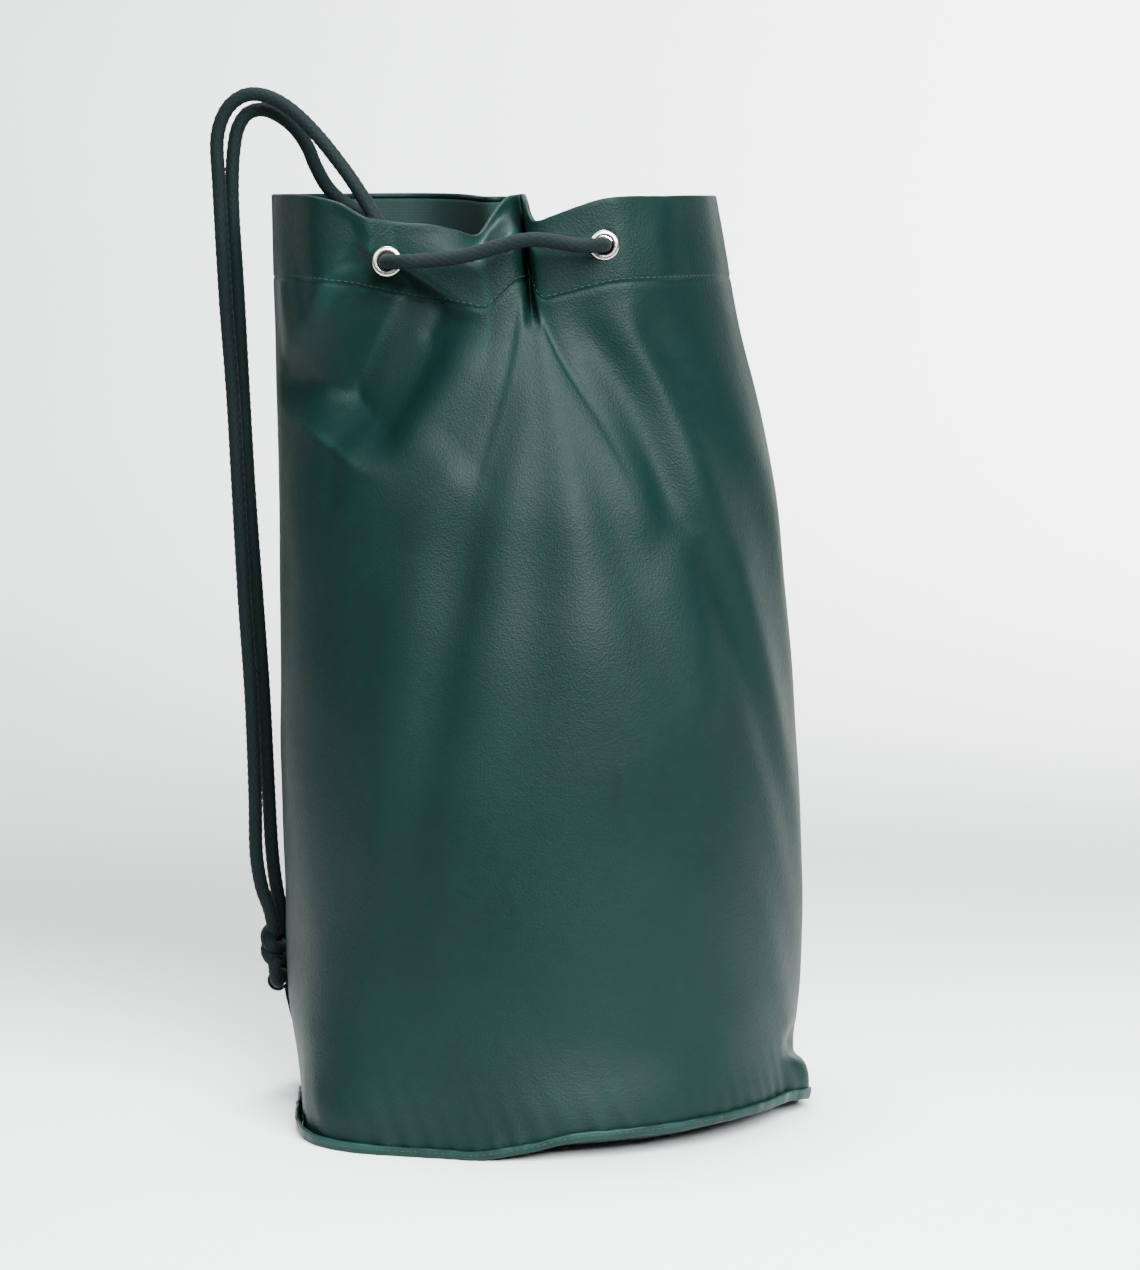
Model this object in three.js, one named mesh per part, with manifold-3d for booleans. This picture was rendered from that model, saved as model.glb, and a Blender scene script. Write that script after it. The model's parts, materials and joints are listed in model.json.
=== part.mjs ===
// A fruit picking bag: a round-bottomed sack of green coated cloth whose mouth is gathered by one rope.
//
// The rope runs through four metal eyelets in the hemmed mouth. It shows outside between the two front eyelets and
// between the two back ones. Its two ends rise out of the mouth, arch over the left corner and hang down the left
// side as a pair of shoulder cords, and are knotted together through the loop of a tab sewn low on that side.
//
// Millimetres, +Z up. The origin is the centre of the round base, on the surface that the bag stands on. -Y is the
// front, the side whose pleat and rope show, and the shoulder cords hang on the -X side.
import * as THREE from "three";
import { mergeVertices } from "three/addons/utils/BufferGeometryUtils.js";
import Module from "manifold-3d";

const wasm = await Module();
wasm.setup();

// ---- Driving dimensions ----
const HEIGHT = 505; // rim above the floor
const BASE_RADIUS = 137;
const CLOTH = 1.2; // thickness of the coated cloth
const GAP = 0.3; // between pieces that touch
const HEM = 45; // depth of the hem round the mouth
const CORD = 8; // rope diameter
const EYELET_BORE = 10;
const EYELET_FLANGE = 16;
const PULL_ROOM = 5; // straight rope outside an eyelet before it bends

const HEM_Z = HEIGHT - HEM;
const CORD_RADIUS = CORD / 2;

// Left and right outline of the bag and half its depth, each against height. The bag leans a little to the left, and
// is wider than its base where it is slack.
const LEFT = [[0, -137], [8, -137], [32, -141], [60, -148], [110, -149], [230, -149], [350, -150], [505, -152]];
const RIGHT = [[0, 137], [8, 137], [32, 138.5], [70, 143], [170, 141.5], [230, 139.5], [300, 134], [360, 123],
  [430, 106], [479, 97], [505, 92]];
const DEPTH = [[0, 137], [8, 137], [40, 133], [90, 129], [230, 130], [330, 126], [400, 112], [505, 100]];

// The middles of the eyelets' flanges.
const FRONT_EYELETS = [[-84.5, -79.4, 470], [29.5, -79.4, 478.5]];
const BACK_EYELETS = [[-84.5, 78.4, 474], [29.5, 78.4, 474]];

// The gathered mouth at the eyelets, seen from above: from the left corner along the front to the right corner,
// and on round the back to the left again. Each side turns in between its two eyelets as one deep pleat.
const FRONT_MOUTH = [
  [-152, 0], [-149, -13], [-141, -36], [-126, -57], [-107, -73], [-94.5, -79], [-84.5, -79], [-74.5, -79], [-64, -70],
  [-46, -44], [-28, -20], [-16, -7], [-10, -9], [-9, -22], [-8, -44], [-4, -65], [7, -77], [19.5, -79], [29.5, -79],
  [39.5, -79], [52, -73], [69, -57], [85, -36], [94, -13], [97, 0],
];
const BACK_MOUTH = [
  [97, 0], [94, 13], [85, 36], [69, 56], [52, 72], [39.5, 78], [29.5, 78], [19.5, 78], [8, 74], [-6, 60],
  [-16, 37], [-23, 17], [-30, 10], [-37, 17], [-44, 37], [-52, 60], [-63, 74], [-74.5, 78], [-84.5, 78], [-94.5, 78],
  [-107, 72], [-126, 56], [-141, 36], [-149, 13], [-152, 0],
];
const ROUND_BELOW = 290; // the wall is plainly round up to here
// How far the rope draws the rim down, against the share of the way round: on both flanks of the front pleat, and on
// the right flank of the back one.
const RIM_DIP = [[0, 0], [0.1, 0], [0.14, 2], [0.2, 21], [0.225, 12], [0.25, 0], [0.265, 4], [0.29, 14], [0.32, 11],
  [0.37, 3], [0.42, 0], [0.6, 0], [0.64, 2], [0.68, 15], [0.71, 9], [0.745, 0], [1, 0]];

// ---- Small helpers ----
const lerp = (a, b, t) => a + (b - a) * t;
const evenly = (from, to, steps) => Array.from({ length: steps + 1 }, (_, i) => lerp(from, to, i / steps));
const smooth = (t) => {
  const c = Math.min(1, Math.max(0, t));
  return c * c * (3 - 2 * c);
};

// A smooth curve through a table of [position, value] pairs.
function through(table, at) {
  const last = table.length - 1;
  let i = 0;
  while (i < last - 1 && at > table[i + 1][0]) i++;
  const slope = (k) => {
    const a = table[Math.max(0, k - 1)];
    const b = table[Math.min(last, k + 1)];
    return (b[1] - a[1]) / (b[0] - a[0]);
  };
  const [x0, y0] = table[i];
  const [x1, y1] = table[i + 1];
  const span = x1 - x0;
  const t = Math.min(1, Math.max(0, (at - x0) / span));
  const rise = (2 * t - 3) * t * t;
  return (1 + rise) * y0 - rise * y1 + span * (t * (t - 1) ** 2 * slope(i) + t * t * (t - 1) * slope(i + 1));
}

function geometry(positions, faces) {
  const made = new THREE.BufferGeometry();
  made.setAttribute("position", new THREE.Float32BufferAttribute(positions.flatMap((p) => [p.x, p.y, p.z]), 3));
  made.setIndex(faces.flat());
  made.computeVertexNormals();
  return made;
}

// ---- The wall of the bag ----
const sideCurve = (points) => {
  const curve = new THREE.CatmullRomCurve3(points.map(([x, y]) => new THREE.Vector3(x, y, 0)), false, "centripetal");
  curve.arcLengthDivisions = 1500;
  return curve;
};
const MOUTH_SIDES = [sideCurve(FRONT_MOUTH), sideCurve(BACK_MOUTH)];
const [MOUTH_LEFT, MOUTH_RIGHT] = [FRONT_MOUTH[0][0], BACK_MOUTH[0][0]];

// Where the cloth is, at a share of the way round (0 at the left corner, 0.5 at the right one) and a height.
function wall(around, z) {
  const way = ((around % 1) + 1) % 1;
  const turn = 2 * Math.PI * way;
  const left = through(LEFT, z);
  const right = through(RIGHT, z);
  const round = new THREE.Vector3(
    (left + right) / 2 - ((right - left) / 2) * Math.cos(turn), -through(DEPTH, z) * Math.sin(turn), z);
  const gathered = way < 0.5 ? MOUTH_SIDES[0].getPointAt(2 * way) : MOUTH_SIDES[1].getPointAt(2 * way - 1);
  gathered.x = lerp(left, right, (gathered.x - MOUTH_LEFT) / (MOUTH_RIGHT - MOUTH_LEFT));
  gathered.z = z;
  return round.lerp(gathered, smooth((z - ROUND_BELOW) / (HEM_Z - ROUND_BELOW)));
}

function outward(around, z) {
  const step = 0.0015;
  const along = wall(around + step, z).sub(wall(around - step, z));
  const low = Math.max(0, z - 2);
  const up = wall(around, Math.min(HEIGHT, z + 2)).sub(wall(around, low));
  return along.cross(up).normalize();
}

// A closed layer of cloth that follows the wall, through a list of shares of the way round and a list of heights.
// outer and inner say how far in from the wall's surface its two faces lie, as functions of the share.
function layer({ shares, heights, outer, inner }) {
  const points = [];
  for (const depth of [outer, inner])
    for (const level of heights)
      for (const u of shares) {
        const p = wall(u, level).addScaledVector(outward(u, level), -depth(u));
        p.z = level - through(RIM_DIP, u) * smooth((level - HEM_Z) / HEM);
        points.push(p);
      }
  const steps = shares.length - 1;
  const rows = heights.length - 1;
  const wide = steps + 1;
  const sheet = wide * (rows + 1);
  const faces = [];
  const quad = (a, b, c, d) => faces.push([a, b, c], [a, c, d]);
  for (let j = 0; j < rows; j++)
    for (let i = 0; i < steps; i++) {
      const a = j * wide + i;
      quad(a, a + 1, a + 1 + wide, a + wide);
      quad(sheet + a, sheet + a + wide, sheet + a + 1 + wide, sheet + a + 1);
    }
  for (let i = 0; i < steps; i++) {
    const top = rows * wide + i;
    quad(sheet + i, sheet + i + 1, i + 1, i);
    quad(top, top + 1, sheet + top + 1, sheet + top);
  }
  for (let j = 0; j < rows; j++) {
    const a = j * wide;
    const b = a + steps;
    quad(a, a + wide, sheet + a + wide, sheet + a);
    quad(b, sheet + b, sheet + b + wide, b + wide);
  }
  return geometry(points, faces);
}

// ---- Booleans ----
function solidOf(shape) {
  const bare = shape.index ? shape.toNonIndexed() : shape.clone();
  for (const name of ["normal", "uv"]) bare.deleteAttribute(name);
  const merged = mergeVertices(bare, 1e-4);
  return new wasm.Manifold(new wasm.Mesh({
    numProp: 3,
    vertProperties: merged.attributes.position.array,
    triVerts: new Uint32Array(merged.index.array),
  }));
}

function geometryOf(solid) {
  const { vertProperties, triVerts } = solid.getMesh();
  const made = new THREE.BufferGeometry();
  made.setAttribute("position", new THREE.BufferAttribute(vertProperties, 3));
  made.setIndex(new THREE.BufferAttribute(triVerts, 1));
  made.computeVertexNormals();
  return made;
}

// A shape with a round hole along Y through each of these places.
function punched(shape, places, radius) {
  const drill = new THREE.CylinderGeometry(radius, radius, 24, 24);
  return geometryOf(places.reduce(
    (solid, [x, y, z]) => solid.subtract(solidOf(drill.clone().translate(x, y, z))), solidOf(shape)));
}

// ---- Materials ----
const material = (color, roughness, metalness = 0) => new THREE.MeshStandardMaterial({ color, roughness, metalness });
const VINYL = material(0x1d4a40, 0.45);
const LINING = material(0x1a332d, 0.9);
const BINDING = material(0x28584b, 0.5);
const ROPE = material(0x0f2c30, 0.85);
const NICKEL = material(0xc9c3b4, 0.25, 1);

const bag = new THREE.Group();

function add(name, shape, look, parent = bag) {
  const mesh = new THREE.Mesh(shape, look);
  mesh.name = name;
  parent.add(mesh);
  return mesh;
}

// ---- Body: two wall panels, their hem facings, the side seam tapes, and the base ----
const PERIMETER = 2 * Math.PI * BASE_RADIUS;
const share = (millimetres) => millimetres / PERIMETER;
const EDGE = share(GAP / 2);
const BARREL = EYELET_BORE / 2 + 0.6; // outer radius of an eyelet's barrel
const HOLE = BARREL + GAP;
const PANEL_STEPS = 40;
const BEND_WEIGHT = 26; // how much closer together the stations are where the mouth bends
const HEIGHTS = [0, 10, 28, 60, 110, 200, 290, 330, 372, 414, HEM_Z - 4, HEM_Z, 480, HEIGHT];
const flat = (depth) => () => depth;

// Shares of the way round one panel, closest together where its mouth bends most.
function stations(side) {
  const fine = 600;
  const reach = [0];
  const along = (i) => MOUTH_SIDES[side].getTangentAt(i / fine);
  for (let i = 1; i <= fine; i++)
    reach.push(reach[i - 1] + 1 + BEND_WEIGHT * along(i).angleTo(along(i - 1)));
  const [from, to] = [side / 2 + EDGE, side / 2 + 0.5 - EDGE];
  return evenly(0, reach[fine], PANEL_STEPS).map((goal) => {
    const after = Math.max(1, reach.findIndex((r) => r >= goal - 1e-9));
    const part = (goal - reach[after - 1]) / (reach[after] - reach[after - 1]);
    return lerp(from, to, (after - 1 + part) / fine);
  });
}

function panels() {
  [["front", FRONT_EYELETS], ["back", BACK_EYELETS]].forEach(([name, eyelets], side) => {
    const shares = stations(side);
    const cloth = layer({ shares, heights: HEIGHTS, outer: flat(0), inner: flat(CLOTH) });
    add(`${name}_panel`, punched(cloth, eyelets, HOLE), VINYL);
    const hem = HEIGHTS.filter((z) => z >= HEM_Z);
    const facing = layer({ shares, heights: hem, outer: flat(CLOTH + GAP), inner: flat(2 * CLOTH + GAP) });
    add(`${name}_hem_facing`, punched(facing, eyelets, HOLE), LINING);
  });
}

const TAPE_WIDTH = 18;
const TAPE = 0.8;

function seamTapes() {
  const heights = HEIGHTS.filter((z) => z > 0 && z < HEM_Z);
  for (const [side, at] of [["left", 0], ["right", 0.5]]) {
    const shares = evenly(at - share(TAPE_WIDTH / 2), at + share(TAPE_WIDTH / 2), 4);
    add(`${side}_seam_tape`, layer({
      shares, heights, outer: flat(CLOTH + 2 * GAP), inner: flat(CLOTH + 2 * GAP + TAPE),
    }), LINING);
  }
}

const BINDING_HEIGHT = 6.5;
const BINDING_WIDTH = 2.6;

function base() {
  const disc = BASE_RADIUS - CLOTH - GAP;
  const profile = [[0, 0], [disc, 0], [disc, CLOTH], [0, CLOTH]].map(([r, z]) => new THREE.Vector2(r, z));
  add("base_panel", upright(profile, 60), VINYL);
  const inside = BASE_RADIUS + GAP;
  const outside = inside + BINDING_WIDTH;
  const round = 1.2;
  const section = [[inside, 0], [outside, 0], [outside, BINDING_HEIGHT - round], [outside - round, BINDING_HEIGHT],
    [inside, BINDING_HEIGHT], [inside, 0]];
  add("base_binding", upright(section.map(([r, z]) => new THREE.Vector2(r, z)), 60), BINDING);
}

// A turned shape whose axis is Z.
function upright(profile, segments) {
  return new THREE.LatheGeometry(profile, segments).rotateX(Math.PI / 2);
}

// ---- Eyelets: a flanged barrel from outside, and a washer that it is rolled over inside ----
const STACK = 2 * CLOTH + GAP; // cloth and facing that the eyelet clamps
const WASHER = 0.6;
const WASHER_DROP = 1; // the curved cloth keeps the washer this far from the facing at its middle
const ROLL = 0.9; // the barrel's rolled end, both how wide and how thick
const FLANGE_EDGE = 0.7; // the flange's height at its rim
const CROWN = [[6.6, 1.5], [5.3, 1.3], [5, 0.8]]; // radius and height over the flange's bulge, into the bore

function eyelet(name, [x, y, z], front) {
  const bore = EYELET_BORE / 2;
  const flange = EYELET_FLANGE / 2;
  const washerTop = -(STACK + WASHER_DROP);
  const back = washerTop - WASHER - GAP;
  const end = back - ROLL;
  const barrel = [[bore, end], [BARREL + ROLL, end], [BARREL + ROLL, back], [BARREL, back], [BARREL, GAP],
    [flange, GAP], [flange, FLANGE_EDGE], ...CROWN, [bore, end]];
  const ring = [[BARREL + GAP, washerTop - WASHER], [flange, washerTop - WASHER], [flange, washerTop],
    [BARREL + GAP, washerTop], [BARREL + GAP, washerTop - WASHER]];
  const seat = new THREE.Group();
  seat.position.set(x, y, z);
  seat.rotation.x = front ? Math.PI / 2 : -Math.PI / 2;
  bag.add(seat);
  add(`${name}_eyelet`, upright(barrel.map(([r, h]) => new THREE.Vector2(r, h)), 16), NICKEL, seat);
  add(`${name}_eyelet_washer`, upright(ring.map(([r, h]) => new THREE.Vector2(r, h)), 16), NICKEL, seat);
}

// ---- The rope ----
// Each stretch is a list of points along its middle.
const STUB_END = 24; // how far inside the wall a run through two eyelets ends
const BEND = 16; // radius of the rope's bends at the eyelets

// A run outside the wall between two eyelets, with an end through each. crown is how much higher its middle is.
function outsideRun([[x0, y0, z0], [x1, , z1]], crown) {
  const out = Math.sign(y0);
  const face = y0 + out * PULL_ROOM;
  const bend = (x, way, z) => evenly(0, Math.PI / 2, 5).map(
    (a) => [x + way * BEND * (1 - Math.cos(a)), face + out * BEND * Math.sin(a), z]);
  const points = [
    [x0, y0 - out * STUB_END, z0], [x0, y0 - out * CORD, z0],
    ...bend(x0, 1, z0),
    [lerp(x0, x1, 0.35), face + out * BEND, z0], [lerp(x0, x1, 0.65), face + out * BEND, z1],
    ...bend(x1, -1, z1).reverse(),
    [x1, y0 - out * CORD, z1], [x1, y0 - out * STUB_END, z1],
  ];
  return points.map(([x, y, z]) => {
    const middle = smooth(1 - Math.abs((x - (x0 + x1) / 2) / ((x1 - x0) / 2 - EYELET_BORE / 2)));
    return [x, y, z + crown * middle];
  });
}

// From the inside of the right front eyelet, round the inside of the right corner, to the right back one.
const INSIDE_RUN = [
  [29.5, -55.1, 478.5], [29.5, -48, 478.5], [35, -34, 475.5], [46, -20, 472], [51, -7, 470.5], [52, 6, 470],
  [48, 20, 471], [38, 34, 472.5], [29.5, 47, 474], [29.5, 54, 474],
];

// Shoulder cords, from inside the left eyelets, out of the mouth, over the corner and down to the knot. Each swings
// about the line between its two ends, so it stops short of the fixed rope at either end.
const NEAR_CORD = [
  [-84.5, -52.4, 470], [-84.8, -43, 472.5], [-87, -34, 480], [-94, -26, 493], [-102, -20, 506], [-112, -13, 520],
  [-127, -4, 538], [-141, 2, 551], [-154, 6, 558], [-166, 8, 558.5], [-176, 9, 551], [-181.5, 10, 536],
  [-181, 10, 512], [-178, 10, 447], [-174.5, 10, 393], [-172, 10, 337], [-169.5, 10, 282], [-166.3, 10.5, 226],
  [-164.8, 11, 170], [-164.5, 11.2, 138], [-161.8, 11.5, 119], [-157.5, 11.7, 106],
];
const FAR_CORD = [
  [-84.5, 51.4, 474], [-85.5, 42, 476.5], [-90, 34, 484], [-101, 28.5, 493.5], [-113, 25, 500], [-122, 22.5, 508.5],
  [-128.7, 20.5, 520.5], [-132.5, 19.5, 530], [-139, 18.5, 540], [-148, 17.5, 547.5], [-158, 17.5, 551],
  [-167, 18, 547.5], [-172.5, 18.5, 535], [-174.5, 18.5, 505], [-172, 19, 450], [-169.5, 19, 393], [-166.8, 19, 337],
  [-163.4, 19.2, 282], [-160.1, 19.8, 226], [-157.9, 20.2, 170], [-156.6, 20.2, 141], [-154.8, 20.2, 122],
  [-152.3, 20.2, 106],
];
const NEAR_END = [[-157, 11.7, 104.5], [-155.8, 12, 98], [-155, 13, 88]];
const FAR_END = [[-152, 20.2, 104.5], [-151.8, 20, 98], [-152, 19, 88]];

function rope(points, steps, sides = 8) {
  const path = new THREE.CatmullRomCurve3(points.map((p) => new THREE.Vector3(...p)), false, "centripetal");
  path.arcLengthDivisions = 800;
  const section = new THREE.Shape();
  for (let i = 0; i < sides; i++) {
    const a = ((i + 0.5) / sides) * 2 * Math.PI;
    const [x, y] = [CORD_RADIUS * Math.cos(a), CORD_RADIUS * Math.sin(a)];
    if (i) section.lineTo(x, y);
    else section.moveTo(x, y);
  }
  section.closePath();
  return new THREE.ExtrudeGeometry(section, { extrudePath: path, steps, bevelEnabled: false });
}

function ropes() {
  add("front_cord_run", rope(outsideRun(FRONT_EYELETS, 4), 14), ROPE);
  add("back_cord_run", rope(outsideRun(BACK_EYELETS, -1), 14), ROPE);
  add("inside_cord_run", rope(INSIDE_RUN, 9), ROPE);
  add("near_shoulder_cord", rope(NEAR_CORD, 24), ROPE);
  add("far_shoulder_cord", rope(FAR_CORD, 24), ROPE);
}

// ---- Where the shoulder cords are fastened: a tab of doubled cloth with a loop, and the knot over it ----
const TAB_AT = -share(15.8); // a little behind the left seam
const TAB_HEIGHTS = [28, 44, 60, 64];
const TAB_WIDTH = 10;
const LOOP_Z = 66;
const LOOP_BORE = 4.7;
const LOOP_OUT = 2 * GAP + LOOP_BORE + CLOTH; // from the wall to the middle of the loop
const KNOT_Z = 84;
const KNOT_OUT = 8.2; // from the wall to the middle of the knot
const KNOT_SIZE = [7.2, 12.5, 11]; // half sizes out from the wall, along it and up
// The rope inside the knot and below it, as points so far along the wall from the tab, so high and so far out.
const THROUGH_LOOP = [[-10.5, 80, 7], [-11, 73, 6.6], [-9, 68, 6.5], [-5, LOOP_Z, LOOP_OUT], [0, LOOP_Z, LOOP_OUT],
  [5, LOOP_Z, LOOP_OUT], [9, 68, 6.5], [11, 73, 6.6], [10.5, 80, 7]];
const TAILS = [
  [[8, 84, 8], [14, 76, 6], [17.5, 66, 5], [19, 50, 5], [20, 32, 5]],
  [[8, 88, 8], [19, 86, 6], [26, 78, 5], [29, 64, 5], [30.5, 46, 5]],
];

// A point beside the wall: so far along it toward the back from the tab, so high, and so far out.
const beside = (along, z, out) => {
  const at = TAB_AT - share(along);
  return wall(at, z).addScaledVector(outward(at, z), out);
};

function anchorTab() {
  const shares = evenly(TAB_AT - share(TAB_WIDTH / 2), TAB_AT + share(TAB_WIDTH / 2), 2);
  const strip = layer({ shares, heights: TAB_HEIGHTS, outer: flat(-GAP - 2 * CLOTH), inner: flat(-GAP) });
  const centre = beside(0, LOOP_Z, LOOP_OUT);
  const lying = (radius, length) => {
    const bar = new THREE.CylinderGeometry(radius, radius, length, 20);
    const way = outward(TAB_AT, LOOP_Z);
    return solidOf(bar.rotateZ(Math.atan2(way.y, way.x) - Math.PI).translate(centre.x, centre.y, centre.z));
  };
  const joined = solidOf(strip).add(lying(LOOP_BORE + CLOTH, TAB_WIDTH)).subtract(lying(LOOP_BORE, 2 * TAB_WIDTH));
  add("anchor_tab", geometryOf(joined), VINYL);
}

function knot() {
  const ball = new THREE.SphereGeometry(1, 12, 8).rotateX(Math.PI / 2).scale(...KNOT_SIZE);
  const out = outward(TAB_AT, KNOT_Z);
  const centre = beside(0, KNOT_Z, KNOT_OUT);
  ball.rotateZ(Math.atan2(out.y, out.x)).translate(centre.x, centre.y, centre.z);
  const [inLoop, ...tails] = [THROUGH_LOOP, ...TAILS].map((line) => line.map((p) => beside(...p).toArray()));
  const pieces = [rope(inLoop, 10), rope(NEAR_END, 2), rope(FAR_END, 2), ...tails.map((tail) => rope(tail, 7))];
  add("cord_knot", geometryOf(pieces.reduce((all, piece) => all.add(solidOf(piece)), solidOf(ball))), ROPE);
}

panels();
seamTapes();
base();
eyelet("front_left", FRONT_EYELETS[0], true);
eyelet("front_right", FRONT_EYELETS[1], true);
eyelet("back_left", BACK_EYELETS[0], false);
eyelet("back_right", BACK_EYELETS[1], false);
anchorTab();
knot();
ropes();

export default bag;
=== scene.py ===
"""Looks of the fruit picking bag: a drawstring sack of green coated cloth with one rope.

Everything is in metres in the CAD frame: origin at the base's centre on the floor, +Z up, -Y the front with
the gathered pleat, -X the side that the shoulder cords hang on. Tables of places are in millimetres.
"""
import json
import math

import bpy
import numpy as np
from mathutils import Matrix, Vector

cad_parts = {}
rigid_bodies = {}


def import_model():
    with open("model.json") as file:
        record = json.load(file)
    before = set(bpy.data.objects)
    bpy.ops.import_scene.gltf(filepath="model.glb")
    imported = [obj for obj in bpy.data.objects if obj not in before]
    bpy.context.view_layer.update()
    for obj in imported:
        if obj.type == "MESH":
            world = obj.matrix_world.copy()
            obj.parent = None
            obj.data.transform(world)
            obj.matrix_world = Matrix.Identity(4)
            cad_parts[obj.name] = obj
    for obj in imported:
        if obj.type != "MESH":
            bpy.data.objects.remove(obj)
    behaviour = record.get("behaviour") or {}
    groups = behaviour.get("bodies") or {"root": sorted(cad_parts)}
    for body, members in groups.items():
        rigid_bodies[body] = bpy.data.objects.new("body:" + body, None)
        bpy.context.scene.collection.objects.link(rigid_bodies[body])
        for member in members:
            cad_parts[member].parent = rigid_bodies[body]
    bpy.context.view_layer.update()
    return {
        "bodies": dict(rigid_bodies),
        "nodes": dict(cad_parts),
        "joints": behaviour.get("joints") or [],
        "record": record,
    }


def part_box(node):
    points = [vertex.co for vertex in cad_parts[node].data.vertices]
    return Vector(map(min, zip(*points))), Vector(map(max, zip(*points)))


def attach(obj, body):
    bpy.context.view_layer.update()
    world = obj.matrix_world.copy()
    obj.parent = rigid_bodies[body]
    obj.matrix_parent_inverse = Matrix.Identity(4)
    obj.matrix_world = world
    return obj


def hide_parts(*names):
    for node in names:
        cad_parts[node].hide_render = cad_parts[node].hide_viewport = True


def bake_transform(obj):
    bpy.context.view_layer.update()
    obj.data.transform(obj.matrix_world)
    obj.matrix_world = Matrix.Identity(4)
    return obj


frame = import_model()

MM = 0.001
HEM_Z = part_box("front_hem_facing")[0].z / MM
HEM_DEPTH = 45
HEIGHT = HEM_Z + HEM_DEPTH
BASE_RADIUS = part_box("base_panel")[1].x / MM + 1.5
CLOTH = 1.2  # thickness in millimetres
CORD = 8 * MM
EYELETS = {name: sum(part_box(name + "_eyelet_washer"), Vector()) / 2
           for name in ("front_left", "front_right", "back_left", "back_right")}
FLANGE = (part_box("front_left_eyelet")[1].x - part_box("front_left_eyelet")[0].x) / 2 / MM


# ---- Camera ----
def make_camera():
    """Two metres off, level with the rim and tipped down to the bag's middle."""
    data = bpy.data.cameras.new("camera")
    data.sensor_width = 36
    data.lens = 103.1
    camera = bpy.data.objects.new("camera", data)
    camera.location = (0.0116, -2.0, 0.508)
    camera.rotation_euler = (math.radians(83), 0, 0)
    bpy.context.scene.collection.objects.link(camera)
    bpy.context.scene.camera = camera


make_camera()


# ---- Small helpers ----
def smooth(t):
    t = np.clip(t, 0, 1)
    return t * t * (3 - 2 * t)


def through(table, at):
    """A smooth curve through (position, value) pairs, for one position or an array of them."""
    xs, ys = np.array(table, float).T
    slope = np.empty_like(ys)
    slope[1:-1] = (ys[2:] - ys[:-2]) / (xs[2:] - xs[:-2])
    slope[0] = (ys[1] - ys[0]) / (xs[1] - xs[0])
    slope[-1] = (ys[-1] - ys[-2]) / (xs[-1] - xs[-2])
    at = np.clip(np.asarray(at, float), xs[0], xs[-1])
    i = np.clip(np.searchsorted(xs, at, side="right") - 1, 0, len(xs) - 2)
    span = xs[i + 1] - xs[i]
    t = (at - xs[i]) / span
    rise = (3 - 2 * t) * t * t
    return ((1 - rise) * ys[i] + rise * ys[i + 1]
            + span * (t * (t - 1) ** 2 * slope[i] + t * t * (t - 1) * slope[i + 1]))


def reach(points):
    """How far along a line each of its points is."""
    return np.concatenate([[0], np.cumsum(np.linalg.norm(np.diff(points, axis=0), axis=1))])


def spaced(points, count):
    """count points at even steps along a smooth curve through these points."""
    points = np.array(points, float)
    knots = np.concatenate([[0], np.cumsum(np.linalg.norm(np.diff(points, axis=0), axis=1) ** 0.5)])
    fine_at = np.linspace(0, knots[-1], 4000)
    fine = np.column_stack([through(np.column_stack([knots, column]), fine_at) for column in points.T])
    along = reach(fine)
    goals = np.linspace(0, along[-1], count)
    return np.column_stack([np.interp(goals, along, column) for column in fine.T])


def cubic(values, at):
    """Values along the first axis at fractional places, by a cubic through their neighbours."""
    i = np.clip(np.floor(at).astype(int), 0, len(values) - 2)
    t = (at - i).reshape(-1, *[1] * (values.ndim - 1))
    before, after = values[np.maximum(i - 1, 0)], values[np.minimum(i + 2, len(values) - 1)]
    a, b = values[i], values[i + 1]
    return a + 0.5 * t * (b - before + t * (2 * before - 5 * a + 4 * b - after
                                            + t * (3 * (a - b) + after - before)))


def on_grid(values, rows, columns):
    """Values of a grid at these fractional rows by these fractional columns."""
    return cubic(np.moveaxis(cubic(np.moveaxis(values, 1, 0), columns), 0, 1), rows)


def unit(v):
    return v / np.maximum(np.linalg.norm(v, axis=-1, keepdims=True), 1e-12)


def new_mesh(name, verts, faces, material=None):
    mesh = bpy.data.meshes.new(name)
    mesh.from_pydata(np.asarray(verts, float).tolist(), [], [tuple(int(i) for i in f) for f in faces])
    mesh.update()
    mesh.polygons.foreach_set("use_smooth", [True] * len(mesh.polygons))
    obj = bpy.data.objects.new(name, mesh)
    bpy.context.scene.collection.objects.link(obj)
    if material:
        mesh.materials.append(material)
    return obj


def ring_faces(rings, points, closed=False):
    """Four-sided faces from each ring of points to the next, and from the last to the first if closed."""
    r, k = np.indices((rings if closed else rings - 1, points)).reshape(2, -1)
    s, m = (r + 1) % rings, (k + 1) % points
    return np.column_stack([r * points + k, r * points + m, s * points + m, s * points + k])


def tube(name, rings, material, closed=False, flip=False):
    """A tube through rings of points, an array (rings, points, 3): closed on itself, or with end faces."""
    count, points = rings.shape[:2]
    faces = ring_faces(count, points, closed)[:, [0, 3, 2, 1] if flip else [0, 1, 2, 3]].tolist()
    if not closed:
        ends = [list(range(points))[::-1], list(range((count - 1) * points, count * points))]
        faces += [end[::-1] for end in ends] if flip else ends
    return new_mesh(name, rings.reshape(-1, 3), faces, material)


def placed(obj, body, node=None):
    """Sets a piece on the body it rides on, and hides the CAD node it stands in for, if one is given."""
    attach(obj, body)
    if node:
        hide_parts(node)
    return obj


def point_attribute(obj, name, values):
    attribute = obj.data.attributes.new(name, "FLOAT", "POINT")
    attribute.data.foreach_set("value", np.asarray(values, np.float32).ravel())


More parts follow.
